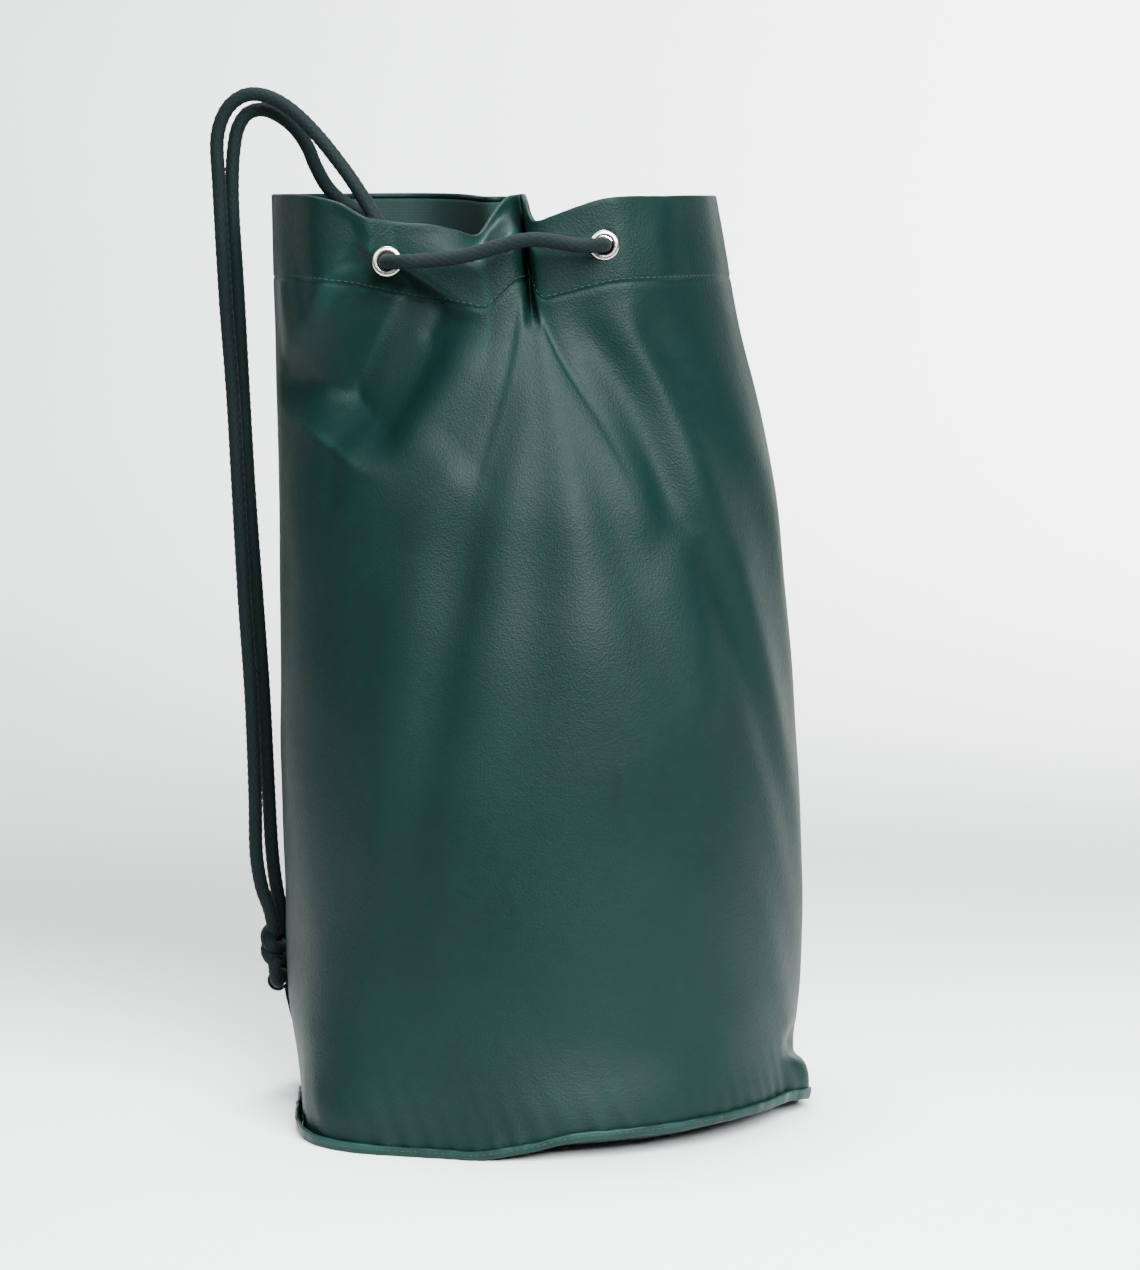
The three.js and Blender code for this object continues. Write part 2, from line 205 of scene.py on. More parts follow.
# ---- Materials ----
class Look:
    """A new material, and short names for building its nodes."""

    def __init__(self, name, color, roughness, metallic=0.0, specular=0.5):
        self.material = bpy.data.materials.new(name)
        self.material.use_nodes = True
        self.tree = self.material.node_tree
        self.shader = self.tree.nodes["Principled BSDF"]
        for socket, value in (("Base Color", (*color, 1)), ("Roughness", roughness), ("Metallic", metallic),
                              ("Specular IOR Level", specular)):
            self.shader.inputs[socket].default_value = value
        self.where = self.tree.nodes.new("ShaderNodeTexCoord").outputs["Object"]

    def feed(self, socket, value):
        """Links a socket, or sets it to a number or a colour."""
        if isinstance(value, bpy.types.NodeSocket):
            self.tree.links.new(value, socket)
        elif socket.type == "RGBA":
            socket.default_value = (*value, 1)
        else:
            socket.default_value = value

    def add(self, kind, settings=(), **inputs):
        node = self.tree.nodes.new("ShaderNode" + kind)
        for name, value in dict(settings).items():
            setattr(node, name, value)
        for name, value in inputs.items():
            self.feed(node.inputs[name], value)
        return node

    def noise(self, scale, detail=2.0, stretch=(1, 1, 1)):
        place = self.add("Mapping", Vector=self.where, Scale=stretch).outputs["Vector"]
        return self.add("TexNoise", Vector=place, Scale=scale, Detail=detail).outputs["Fac"]

    def cells(self, scale):
        node = self.add("TexVoronoi", {"feature": "SMOOTH_F1"}, Vector=self.where, Scale=scale)
        return node.outputs["Distance"]

    def attribute(self, name):
        return self.add("Attribute", {"attribute_name": name}).outputs["Fac"]

    def ramp(self, value, *stops):
        """A value or colour ramp through (position, value or colour) stops."""
        node = self.add("ValToRGB", Fac=value)
        ramp = node.color_ramp
        while len(ramp.elements) < len(stops):
            ramp.elements.new(0.5)
        for element, (at, color) in zip(ramp.elements, stops):
            element.position = at
            element.color = (*color, 1) if hasattr(color, "__len__") else (color, color, color, 1)
        return node.outputs["Color"]

    def math(self, operation, a, b):
        node = self.add("Math", {"operation": operation})
        for socket, value in zip(node.inputs, (a, b)):
            self.feed(socket, value)
        return node.outputs["Value"]

    def mix(self, share, a, b):
        """Colour a, with this share of colour b."""
        node = self.add("Mix", {"data_type": "RGBA"})
        for index, value in ((0, share), (6, a), (7, b)):  # the node's colour sockets come after its others
            self.feed(node.inputs[index], value)
        return node.outputs[2]

    def bump(self, height, distance, strength, under=None):
        """A normal bumped by a height, on top of another bump's if there is one under it."""
        inputs = {"Normal": under} if under else {}
        node = self.add("Bump", Height=height, Distance=distance, Strength=strength, **inputs)
        return node.outputs["Normal"]

    def finish(self, color, roughness, normal):
        """Links what is given to the shader, and gives the material back."""
        for name, value in (("Base Color", color), ("Roughness", roughness), ("Normal", normal)):
            if value:
                self.tree.links.new(value, self.shader.inputs[name])
        return self.material


def vinyl_material():
    """Bottle-green coated cloth: fine leather grain, a satin skin, and paler wear where it is creased."""
    n = Look("vinyl", (0.0014, 0.0142, 0.0107), 0.45, specular=0.1)
    patches = n.noise(9, 3)
    mottle = n.noise(160, 4)
    color = n.ramp(patches, (0.3, (0.0008, 0.0074, 0.0058)), (0.7, (0.0011, 0.0093, 0.0073)))
    color = n.mix(n.ramp(mottle, (0.35, 0.0), (0.75, 0.35)), color, (0.0012, 0.0105, 0.0083))
    color = n.mix(n.ramp(n.attribute("paleness"), (0.35, 0.0), (1.0, 0.4)), color, (0.004, 0.022, 0.0175))
    grain = n.cells(950)
    pores = n.noise(1400, 2)
    weave = n.noise(260, 2)
    roughness = n.ramp(n.math("ADD", n.math("MULTIPLY", patches, 0.6), n.math("MULTIPLY", mottle, 0.4)),
                       (0.3, 0.47), (0.7, 0.57))
    normal = n.bump(weave, 0.0004, 0.2)
    normal = n.bump(grain, 0.0004, 0.45, normal)
    normal = n.bump(pores, 0.0002, 0.35, normal)
    return n.finish(color, roughness, normal)


def backing_material():
    """The cloth's woven back, which shows inside the mouth."""
    n = Look("backing", (0.004, 0.013, 0.011), 0.85, specular=0.15)
    waves = [n.add("TexWave", {"bands_direction": way}, Vector=n.where, Scale=380.0, Distortion=1.2)
             for way in ("X", "Z")]
    weave = n.math("MAXIMUM", *(wave.outputs["Fac"] for wave in waves))
    dirt = n.noise(14, 4)
    color = n.ramp(dirt, (0.3, (0.003, 0.0105, 0.0085)), (0.7, (0.006, 0.017, 0.0142)))
    color = n.mix(n.ramp(weave, (0.2, 0.0), (0.9, 0.5)), color, (0.008, 0.022, 0.019))
    return n.finish(color, None, n.bump(weave, 0.0003, 0.7))


def binding_material():
    """Ribbed tape, paler than the cloth in rubbed patches, and with painted highlight on its upper half."""
    n = Look("binding", (0.0015, 0.012, 0.0095), 0.5, specular=0.15)
    ribs = n.add("TexWave", {"wave_type": "RINGS", "rings_direction": "Z"}, Vector=n.where, Scale=0.5)
    rub = n.noise(70, 4)
    fine = n.noise(900, 2)
    color = n.ramp(rub, (0.35, (0.001, 0.009, 0.007)), (0.72, (0.0022, 0.016, 0.0125)))
    # Paleness on the tape: rubbed patches of wear, with painted highlight making the upper half of the tape
    # paler.
    color = n.mix(n.ramp(n.attribute("paleness"), (0.3, 0.0), (1.0, 0.5)), color, (0.006, 0.030, 0.024))
    normal = n.bump(ribs.outputs["Fac"], 0.0001, 0.2)
    return n.finish(color, n.ramp(rub, (0.3, 0.42), (0.7, 0.6)), n.bump(fine, 0.0003, 0.5, normal))


def rope_material():
    """Dark teal braid, with painted shade making it nearly black in the gaps between strands, and a little
    fuzz.
    """
    n = Look("rope", (0.0015, 0.010, 0.0095), 0.8, specular=0.12)
    relief_for_gap_shade = n.attribute("relief")
    fibre = n.noise(1500, 3, (1, 1, 0.35))
    shade = n.noise(30, 2)
    # Painted shade: the lower a point lies between the strands, the darker it is painted.
    color = n.ramp(relief_for_gap_shade, (0.1, (0.0003, 0.0012, 0.0012)), (0.6, (0.0005, 0.0031, 0.0031)),
                   (1.0, (0.0009, 0.0055, 0.0054)))
    color = n.mix(n.ramp(fibre, (0.4, 0.0), (0.8, 0.5)), color, (0.0014, 0.0075, 0.0072))
    color = n.mix(n.ramp(shade, (0.35, 0.0), (0.75, 0.3)), color, (0.0007, 0.0037, 0.0036))
    n.shader.inputs["Sheen Weight"].default_value = 0.02
    n.shader.inputs["Sheen Roughness"].default_value = 0.4
    return n.finish(color, n.ramp(fibre, (0.3, 0.68), (0.7, 0.88)), n.bump(fibre, 0.0004, 0.6))


def thread_material():
    n = Look("thread", (0.004, 0.022, 0.017), 0.6, specular=0.2)
    twist = n.noise(2500, 2)
    return n.finish(n.ramp(twist, (0.3, (0.003, 0.018, 0.014)), (0.7, (0.007, 0.032, 0.025))), None,
                    n.bump(twist, 0.0001, 0.5))


def nickel_material():
    """Plated brass, brushed by use and a little tarnished."""
    n = Look("nickel", (0.76, 0.70, 0.62), 0.28, metallic=1.0)
    tarnish = n.noise(420, 4)
    scuffs = n.noise(2600, 2)
    color = n.ramp(tarnish, (0.3, (0.80, 0.76, 0.69)), (0.75, (0.52, 0.44, 0.36)))
    return n.finish(color, n.ramp(scuffs, (0.3, 0.2), (0.7, 0.38)), n.bump(scuffs, 0.00006, 0.4))


VINYL = vinyl_material()
BACKING = backing_material()
BINDING = binding_material()
ROPE = rope_material()
THREAD = thread_material()
NICKEL = nickel_material()

# ---- The rope ----
# Each stretch's middle, as in the CAD.
THROUGH_EYELET = {name: np.array(middle) / 1000 for name, middle in (
    ("front_left", (-84.5, -79.4, 470)), ("front_right", (29.5, -79.4, 478.5)),
    ("back_left", (-84.5, 78.4, 474)), ("back_right", (29.5, 78.4, 474)))}
INSIDE_RUN = np.array([(29.5, -57, 478.5), (29.5, -48, 478.5), (35, -34, 475.5), (46, -20, 472),
    (51, -7, 470.5), (52, 6, 470), (48, 20, 471), (38, 34, 472.5), (29.5, 47, 474), (29.5, 56, 474)]) / 1000
NEAR_CORD = np.array([(-84.5, -57, 470), (-84.8, -43, 472.5), (-87, -34, 480), (-94, -26, 493),
    (-102, -20, 506), (-112, -13, 520), (-127, -4, 538), (-141, 2, 551), (-154, 6, 558), (-166, 8, 558.5),
    (-176, 9, 551), (-181.5, 10, 536), (-181, 10, 512), (-178, 10, 447), (-174.5, 10, 393), (-172, 10, 337),
    (-169.5, 10, 282), (-166.3, 10.5, 226), (-164.8, 11, 170), (-164.5, 11.2, 138), (-161.8, 11.5, 119),
    (-157.5, 11.7, 106), (-155.8, 12, 98), (-155, 13, 88)]) / 1000
FAR_CORD = np.array([(-84.5, 56, 474), (-85.5, 42, 476.5), (-90, 34, 484), (-101, 28.5, 493.5),
    (-113, 25, 500), (-122, 22.5, 508.5), (-128.7, 20.5, 520.5), (-132.5, 19.5, 530), (-139, 18.5, 540),
    (-148, 17.5, 547.5), (-158, 17.5, 551), (-167, 18, 547.5), (-172.5, 18.5, 535), (-174.5, 18.5, 505),
    (-172, 19, 450), (-169.5, 19, 393), (-166.8, 19, 337), (-163.4, 19.2, 282), (-160.1, 19.8, 226),
    (-157.9, 20.2, 170), (-156.6, 20.2, 141), (-154.8, 20.2, 122), (-152.3, 20.2, 106), (-151.8, 20, 98),
    (-152, 19, 88)]) / 1000
STRANDS = 8  # diamonds of the braid round the rope
BRAID = 4.6 * MM  # length of one diamond
RELIEF = 0.55 * MM  # how deep the gaps between strands are
SIDES = 32


def outside_run(start, end, crown):
    """The stretch outside the wall between two eyelets, with an end through each."""
    out = math.copysign(1, start[1])
    stub, straight, bend = 24 * MM, 5 * MM, 16 * MM
    face = start[1] + out * straight

    def corner(eyelet, way):
        return [(eyelet[0] + way * bend * (1 - math.cos(a)), face + out * bend * math.sin(a), eyelet[2])
                for a in np.linspace(0, math.pi / 2, 6)]

    def inside(eyelet):
        return [(eyelet[0], eyelet[1] - out * depth, eyelet[2]) for depth in (stub, CORD)]

    x0, x1 = start[0], end[0]
    middle = [(x0 + share * (x1 - x0), face + out * bend, eyelet[2])
              for share, eyelet in ((0.35, start), (0.65, end))]
    points = inside(start) + corner(start, 1) + middle + corner(end, -1)[::-1] + inside(end)[::-1]
    half = (x1 - x0) / 2
    return [(x, y, z + crown * smooth(1 - abs((x - x0 - half) / (half - 5 * MM)))) for x, y, z in points]


def transported(line):
    """A direction square to the line at each of its points, without twist."""
    tangent = unit(np.gradient(line, axis=0))
    sides = [np.cross(tangent[0], (0.3, 0.2, 1.0))]
    for along in tangent:
        side = sides[-1] - along * (sides[-1] @ along)
        sides.append(side / np.linalg.norm(side))
    return np.array(sides[1:]), np.cross(tangent, sides[1:])


def braided(name, points, radius=CORD / 2):
    """A braided rope along a line, its crossing strands standing proud, with rounded ends."""
    length = reach(spaced(points, 400))[-1]
    count = max(12, round(length / (0.85 * MM)))
    line = spaced(points, count)
    side, other = transported(line)
    along = reach(line)[:, None]
    around = (np.arange(SIDES) / SIDES)[None, :]
    u = STRANDS * around + along / BRAID
    v = STRANDS * around - along / BRAID
    over = (np.floor(u) + np.floor(v)) % 2 == 0
    across = np.where(over, u % 1, v % 1)
    lengthwise = np.where(over, v % 1, u % 1)
    relief = np.sqrt(1 - (2 * across - 1) ** 2) * (0.45 + 0.55 * np.sin(np.pi * lengthwise))
    ring = radius - RELIEF * (1 - relief)
    from_end = np.minimum(along, along[-1] - along)
    ring = ring * np.sqrt(1 - (1 - np.clip((from_end + 0.15 * radius) / radius, 0, 1)) ** 2)
    turn = 2 * np.pi * around
    rings = (line[:, None] + side[:, None] * (ring * np.cos(turn))[..., None]
             + other[:, None] * (ring * np.sin(turn))[..., None])
    rope = tube(name, rings, ROPE)
    # The relief also sets the painted shade in the gaps between strands, in rope_material.
    point_attribute(rope, "relief", relief)
    rope["length"] = float(length)
    return rope, line


def declare(node):
    """Hides the CAD node of the rope that this stands in for."""
    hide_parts(node)


def make_ropes():
    for side, crown in (("front", 4 * MM), ("back", -1 * MM)):
        start, end = (THROUGH_EYELET[side + hand] for hand in ("_left", "_right"))
        run, line = braided(side + "_rope_run", outside_run(start, end, crown))
        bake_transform(run)
        declare(side + "_cord_run")
    inside, line = braided("inside_rope_run", INSIDE_RUN)
    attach(inside, "bag")
    declare("inside_cord_run")
    for side, points in (("near", NEAR_CORD), ("far", FAR_CORD)):
        cord, line = braided(side + "_shoulder_rope", points)
        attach(cord, side + "_shoulder")
        declare(side + "_shoulder_cord")


make_ropes()

# ---- The wall ----
# Outlines against height: left and right sides and half depth.
LEFT = [(0, -137), (8, -137), (32, -141), (60, -148), (110, -149), (230, -149), (350, -150), (505, -152)]
RIGHT = [(0, 137), (8, 137), (32, 138.5), (70, 143), (170, 141.5), (230, 139.5), (300, 134), (360, 123),
         (430, 106), (479, 97), (505, 92)]
DEPTH = [(0, 137), (8, 137), (40, 133), (90, 129), (230, 130), (330, 126), (400, 112), (505, 100)]

# The gathered mouth seen from above. At the eyelets each side turns in between them as one closed slit; at
# the rim the front slit's left flank lies open.
FRONT_LEFT_CORNER = [(-151.5, 0), (-144, -25), (-136, -46), (-129, -62), (-123, -71), (-114, -76),
                     (-100, -78.5), (-84.5, -79)]
FRONT_RIGHT_CORNER = [(29.5, -79), (41, -77), (57, -66), (74, -47), (88, -24), (97, 0)]
FRONT_GATHER = FRONT_LEFT_CORNER + [
    (-70, -79), (-50, -79), (-34, -79), (-24, -78.5), (-18.5, -76.5), (-15.6, -72), (-14.4, -63),
    (-13.8, -45), (-13.1, -26), (-12.5, -20), (-11.9, -26), (-11.2, -45), (-10.6, -63), (-9.4, -72),
    (-6.5, -76.5), (-1, -78.5), (14, -79)] + FRONT_RIGHT_CORNER
FRONT_RIM = FRONT_LEFT_CORNER + [
    (-70, -78), (-54, -75), (-42, -69), (-33, -60), (-25, -47), (-19, -33), (-15, -24), (-12.7, -20),
    (-11.8, -26), (-11, -45), (-9.5, -62), (-6, -71), (0, -75.5), (16, -78.5)] + FRONT_RIGHT_CORNER
BACK_MOUTH = [
    (97, 0), (88, 24), (74, 47), (57, 66), (41, 77), (29.5, 78), (17, 76), (2, 67), (-10, 52), (-17, 37),
    (-23, 23), (-28, 18), (-33, 23), (-39, 38), (-47, 54), (-60, 70), (-73, 77), (-84.5, 78), (-97, 77),
    (-114, 66), (-133, 46), (-145, 22), (-151.5, 0)]
MOUTH_LEFT, MOUTH_RIGHT = -151.5, 97
ROUND_BELOW = 300  # the wall is plainly round up to here
SLIT_END = 431
# How far the rope has drawn the rim down, against the mouth's x.
FRONT_DROP = [(-152, 0), (-136, 0), (-120, 1.5), (-108, 4.5), (-95, 11), (-79, 14.5), (-59, 16), (-45, 19),
              (-34, 21), (-27, 12), (-21, 4), (-17, 0.5), (-14, 0), (-11.6, 0), (-10, 4), (-8.5, 9), (-5, 14),
              (6, 11), (17, 7), (34, 2), (60, 0.5), (97, 0.5)]
BACK_DROP = [(-152, 0), (-19, 0), (-14, 4), (-9, 13), (-3, 18), (5, 16), (16, 11), (34, 5), (60, 2),
             (97, 0.5)]

# Folds of the front: each a line of (x, z) points, its height out from the cloth, its half width (or the two
# half widths on the left and right of the line's direction), and the radius of its edge where it is creased
# rather than soft.
FRONT_FOLDS = [
    ([(-80, 468), (-102, 430), (-122, 398), (-132, 382)], -25, (62, 28), 4),  # the dent at the upper left
    ([(-116, 372), (-98, 370), (-80, 376), (-62, 390), (-46, 409), (-34, 434)], 4, 16, 0),  # its lower edge
    ([(-143, 466), (-135, 424), (-126, 381)], 3.5, 11, 1.2),
    ([(-118, 350), (-93, 346), (-70, 352), (-45, 372)], 3, 20, 0),
    ([(-10, 440), (0, 400), (18, 320), (45, 230), (75, 150)], 6, 36, 0),  # the long ridge of the belly
    ([(16, 446), (45, 400), (66, 350), (72, 290)], -4, 13, 0),
    ([(24, 448), (62, 396), (88, 345), (104, 290)], 3.5, 12, 0),
    ([(46, 448), (78, 402), (108, 350), (122, 300)], -2.5, 11, 0),
    ([(88, 330), (92, 270), (88, 210)], 2.5, 12, 0),
    ([(-112, 458), (-98, 466), (-92, 480), (-97, 497), (-112, 505)], 4, 9, 1.5),  # round the left eyelet
    ([(-60, 452), (-64, 438), (-72, 425)], -2, 6, 0),
    ([(62, 505), (60, 480), (66, 455)], 2, 9, 0),
]
# How far the base's edge is lifted off the floor, against the share of the way round from the left seam.
BASE_LIFT = [(0, 1), (0.05, 0), (0.2, 0), (0.235, 5), (0.265, 11), (0.3, 12.5), (0.37, 13), (0.42, 11.5),
             (0.455, 9), (0.49, 3), (0.52, 0), (0.7, 0), (0.78, 4), (0.86, 0), (1, 1)]

AROUND, ROWS = 400, 224  # the finished wall's grid
SIM_AROUND, SIM_ROWS = 168, 104  # the cloth simulation's
DRAWN_BY, SETTLED_BY = 24, 44  # frames


def fold_height(line, height, width, edge, x, z):
    """A ridge or groove along a line of points, fading out at its ends."""
    line = cubic(np.array(line, float), np.linspace(0, len(line) - 1, 8 * len(line)))
    before = reach(line)
    nearest = np.full(len(x), np.inf)
    along, side = np.zeros((2, len(x)))
    for k, (start, step) in enumerate(zip(line[:-1], np.diff(line, axis=0))):
        t = np.clip(((x - start[0]) * step[0] + (z - start[1]) * step[1]) / (step @ step), 0, 1)
        off_x, off_z = x - start[0] - t * step[0], z - start[1] - t * step[1]
        far = np.hypot(off_x, off_z)
        closer = far < nearest
        nearest = np.where(closer, far, nearest)
        side = np.where(closer, (step[0] * off_z - step[1] * off_x) / (np.hypot(*step) * far + 1e-9), side)
        along = np.where(closer, (before[k] + t * (before[k + 1] - before[k])) / before[-1], along)
    fade = smooth(along / 0.18 + 0.25) * smooth((1 - along) / 0.25 + 0.15)
    if isinstance(width, tuple):  # one for the line's left and one for its right
        width = width[1] + (width[0] - width[1]) * (1 + side) / 2
    if not edge:
        return height * np.exp(-(nearest / width) ** 2) * fade
    tent = np.clip(1 - (np.hypot(nearest, edge) - edge) / width, 0, 1)
    return height * tent * smooth(tent * 2) * fade


def mouth_at(share, front):
    """x and y of the gathered mouth at shares of the way round, with this front."""
    line = np.vstack([spaced(front, 1001), spaced(BACK_MOUTH, 1001)[1:]])
    at = (share % 1) * 2000
    return np.column_stack([np.interp(at, np.arange(2001), column) for column in line.T])


def wall_target(share, z):
    """Where the standing bag's cloth is, at shares of the way round and heights in millimetres."""
    turn = 2 * np.pi * share
    left, right, depth = through(LEFT, z), through(RIGHT, z), through(DEPTH, z)
    round_x = (left + right) / 2 - (right - left) / 2 * np.cos(turn)
    round_y = -depth * np.sin(turn)
    gather = mouth_at(share, FRONT_GATHER)
    gather = gather + (mouth_at(share, FRONT_RIM) - gather) * smooth((z - 483) / 20)[:, None]
    in_front = share % 1 < 0.5
    drop = np.where(in_front, through(FRONT_DROP, gather[:, 0]), through(BACK_DROP, gather[:, 0]))
    gathered_x = left + (right - left) * (gather[:, 0] - MOUTH_LEFT) / (MOUTH_RIGHT - MOUTH_LEFT)
    blend = smooth((z - ROUND_BELOW) / (HEM_Z - ROUND_BELOW))
    # The slit goes in last: the cloth between the eyelets stays out until close under the hem.
    off_middle = np.where(in_front, np.abs(gather[:, 0] + 12.5) / 28, np.abs(gather[:, 0] + 28) / 50)
    inward = smooth((1 - off_middle) * 4) * smooth((79 - np.abs(gather[:, 1])) / 5)
    late = smooth((z - SLIT_END) / (HEM_Z + 14 - SLIT_END))
    level = z - drop * smooth((z - 380) / (HEM_Z - 380)) * (0.72 + 0.28 * smooth((z - HEM_Z) / 45))
    level = level + through(BASE_LIFT, share % 1) * (1 - smooth(z / 70))
    x = round_x + (gathered_x - round_x) * blend
    flat_y = np.where(in_front, -79, 78)
    outer_y = round_y + (flat_y - round_y) * blend
    y = round_y + (gather[:, 1] - round_y) * blend
    y = y + (outer_y + (gather[:, 1] - outer_y) * late - y) * inward
    out = unit(np.column_stack([(x - (left + right) / 2) / ((right - left) / 2) ** 2, y / depth ** 2]))
    relief = sum(fold_height(*fold, x, level) for fold in FRONT_FOLDS) * smooth(-y / 40)
    relief = relief + corner_bulge(share, z)
    return np.column_stack([x + out[:, 0] * relief, y + out[:, 1] * relief, level]) * MM


def corner_bulge(share, z):
    """How far the lower cloth stands out beyond the round: at the front left, and as a lip at the right."""
    corner = 22 * np.exp(-((share - 0.112) / 0.05) ** 2) * (1 - smooth((z - 12) / 110))
    lip = np.exp(-((share - 0.474) / 0.02) ** 2)
    rounded = np.sqrt(np.clip(1 - ((z - 11) / 16) ** 2, 0, 1))
    return corner + lip * (10 * rounded - 4.5 * np.exp(-((z - 35) / 8) ** 2))


def wall_grid(around, rows):
    """Shares of the way round and heights of a grid over the whole wall, row by row."""
    share, z = np.meshgrid(np.arange(around) / around, np.linspace(0, HEIGHT, rows + 1))
    return share.ravel(), z.ravel()


def hold_weights(share, z, target):
    """How firmly each point of the simulated cloth is held to the standing shape."""
    seam = np.minimum(np.minimum(share, abs(share - 0.5)), 1 - share)
    by_tab = np.exp(-((share - 0.975) / 0.05) ** 2) * (1 - smooth((z - 110) / 60))
    weights = [0.25 + 0.2 * smooth((z - 380) / 60), 1 - smooth((z - 14) / 50), 0.85 * smooth((z - 440) / 30),
               0.7 * (1 - smooth(seam / 0.012)), by_tab]
    for place in EYELETS.values():
        far = np.hypot(target[:, 0] - place.x, target[:, 2] - place.z)
        weights.append(np.where(target[:, 1] * place.y > 0, 1 - smooth((far - 0.01) / 0.012), 0))
    return np.max(weights, axis=0)


def slackened():
    """How far the cloth strays from its standing shape: a tube of it is drawn into that shape with a little
    air inside, and settles."""
    share, z = wall_grid(SIM_AROUND, SIM_ROWS)
    target = wall_target(share, z)
    turn = 2 * np.pi * share
    radius = BASE_RADIUS * MM
    round_tube = np.column_stack([-radius * np.cos(turn), -radius * np.sin(turn), z * MM])
    cloth = new_mesh("cloth_simulation", round_tube, ring_faces(SIM_ROWS + 1, SIM_AROUND))
    cloth.shape_key_add(name="tube")
    drawn = cloth.shape_key_add(name="drawn")
    drawn.data.foreach_set("co", target.ravel())
    for frame, value in ((1, 0), (DRAWN_BY, 1)):
        drawn.value = value
        drawn.keyframe_insert("value", frame=frame)
    hold = cloth.vertex_groups.new(name="hold")
    for index, weight in enumerate(hold_weights(share, z, target)):
        hold.add([index], float(weight), "REPLACE")
    modifier = cloth.modifiers.new("cloth", "CLOTH")
    for setting, value in dict(
            quality=8, mass=0.25, tension_stiffness=60, compression_stiffness=60, shear_stiffness=20,
            bending_stiffness=60, air_damping=4, vertex_group_mass="hold", pin_stiffness=1,
            use_pressure=True, uniform_pressure_force=4).items():
        setattr(modifier.settings, setting, value)
    modifier.settings.effector_weights.gravity = 0.3
    modifier.collision_settings.use_self_collision = False
    modifier.collision_settings.use_collision = False
    modifier.point_cache.frame_start = 1
    modifier.point_cache.frame_end = SETTLED_BY
    scene = bpy.context.scene
    for frame in range(1, SETTLED_BY + 1):
        scene.frame_set(frame)
    settled = cloth.evaluated_get(bpy.context.evaluated_depsgraph_get())
    shape = np.empty(len(share) * 3)
    settled.data.vertices.foreach_get("co", shape)
    bpy.data.objects.remove(cloth)
    scene.frame_set(1)
    return (shape.reshape(-1, 3) - target).reshape(SIM_ROWS + 1, SIM_AROUND, 3)


def cloth_shape():
    """The wall's cloth as a fine grid of points, rows from the base up."""
    share, z = wall_grid(AROUND, ROWS)
    target = wall_target(share, z).reshape(ROWS + 1, AROUND, 3)
    slack = slackened()
    for _ in range(9):  # the cloth is too stiff for the finest of the simulation's ripples
        slack = (np.roll(slack, 1, axis=1) + 2 * slack + np.roll(slack, -1, axis=1)) / 4
        slack[1:-1] = (slack[:-2] + 2 * slack[1:-1] + slack[2:]) / 4
    slack = on_grid(np.concatenate([slack[:, -2:], slack, slack[:, :3]], axis=1),
                    np.linspace(0, SIM_ROWS, ROWS + 1), np.arange(AROUND) * SIM_AROUND / AROUND + 2)
    firm_front = smooth(3 * np.sin(2 * np.pi * share))  # the authored folds of the front are kept as they are
    strength = 0.75 - (0.5 + 0.2 * firm_front) * smooth((z - 300) / 110)
    return target + strength.reshape(ROWS + 1, AROUND, 1) * slack


def soft_noise(shape, smoothing, seed):
    """Smooth random values over a grid, periodic round the bag, of about unit size."""
    values = np.random.RandomState(seed).standard_normal(shape)
    rows, columns = np.meshgrid(np.fft.fftfreq(shape[0]), np.fft.fftfreq(shape[1]), indexing="ij")
    keep = np.exp(-2 * (np.pi * smoothing * np.hypot(rows, columns)) ** 2)
    values = np.real(np.fft.ifft2(np.fft.fft2(values) * keep))
    return values / values.std()


class Wall:
    """The finished wall: points and outward directions for any share of the way round and height."""

    def __init__(self, grid):
        normal = self.normals(grid)
        ripple = 0.35 * soft_noise(grid.shape[:2], 8, 3) + 0.6 * soft_noise(grid.shape[:2], 18, 4)
        z = np.linspace(0, HEIGHT, ROWS + 1)[:, None]
        share = (np.arange(AROUND) / AROUND)[None, :]
        ripple = ripple * smooth(z / 25) * smooth((HEM_Z + 10 - z) / 40)
        wave = np.sin(2 * np.pi * (share * 63 + 0.5 * np.sin(2 * np.pi * share * 5)) + z * 0.16)
        pucker = wave * (0.4 + 0.6 * np.sin(2 * np.pi * share * 7 + 1) ** 2)
        ripple = ripple + 1.1 * pucker * np.exp(-z / 14) * smooth(z / 5)
        grid = grid + normal * (ripple * MM)[..., None]
        self.grid, self.normal = (np.concatenate([values, values[:, :1]], axis=1)
                                  for values in (grid, self.normals(grid)))

    @staticmethod
    def normals(grid):
        wide = np.concatenate([grid[:, -2:], grid, grid[:, :2]], axis=1)
        along = np.gradient(wide, axis=1)
        up = np.gradient(wide, axis=0)
        return unit(np.cross(along, up))[:, 2:-2]

    def at(self, shares, heights):
        """Points and outward directions on the grid of these heights by these shares."""
        rows = np.asarray(heights, float) / HEIGHT * ROWS
        columns = (np.asarray(shares, float) % 1) * AROUND
        # a share of 1 is the grid's last column, not its first
        columns = np.where((np.asarray(shares) > 0.75) & (columns < 1e-9), AROUND, columns)
        return on_grid(self.grid, rows, columns), unit(on_grid(self.normal, rows, columns))

    def spot(self, share, z, out=0.0):
        """One point, out millimetres from the cloth."""
        point, normal = self.at([share], [z])
        return point[0, 0] + normal[0, 0] * out * MM


wall = Wall(cloth_shape())
PERIMETER = 2 * math.pi * BASE_RADIUS
EDGE_SHARES = np.array([0.06, 0.9, 2.0, 3.4, 5.2]) / PERIMETER  # columns close to a seam, from its middle
RIM_FOLD = 2.7  # thickness of the folded rim


def panel_shares(start, columns):
    """Shares of the way round one panel, closer together beside its seams."""
    middle = np.linspace(start + 7.5 / PERIMETER, start + 0.5 - 7.5 / PERIMETER, columns)
    return np.concatenate([start + EDGE_SHARES, middle, start + 0.5 - EDGE_SHARES[::-1]])


def sewn(shares, heights, points, normals, seam_start):
    """Draws the cloth in along its seams and the hem's stitching."""
    beside = np.minimum(shares - seam_start, seam_start + 0.5 - shares) * PERIMETER
    groove = 0.9 * np.exp(-(beside / 1.3) ** 2)[None, :] + 0.55 * np.exp(-(heights - HEM_Z) ** 2)[:, None]
    return points - normals * groove[..., None] * MM


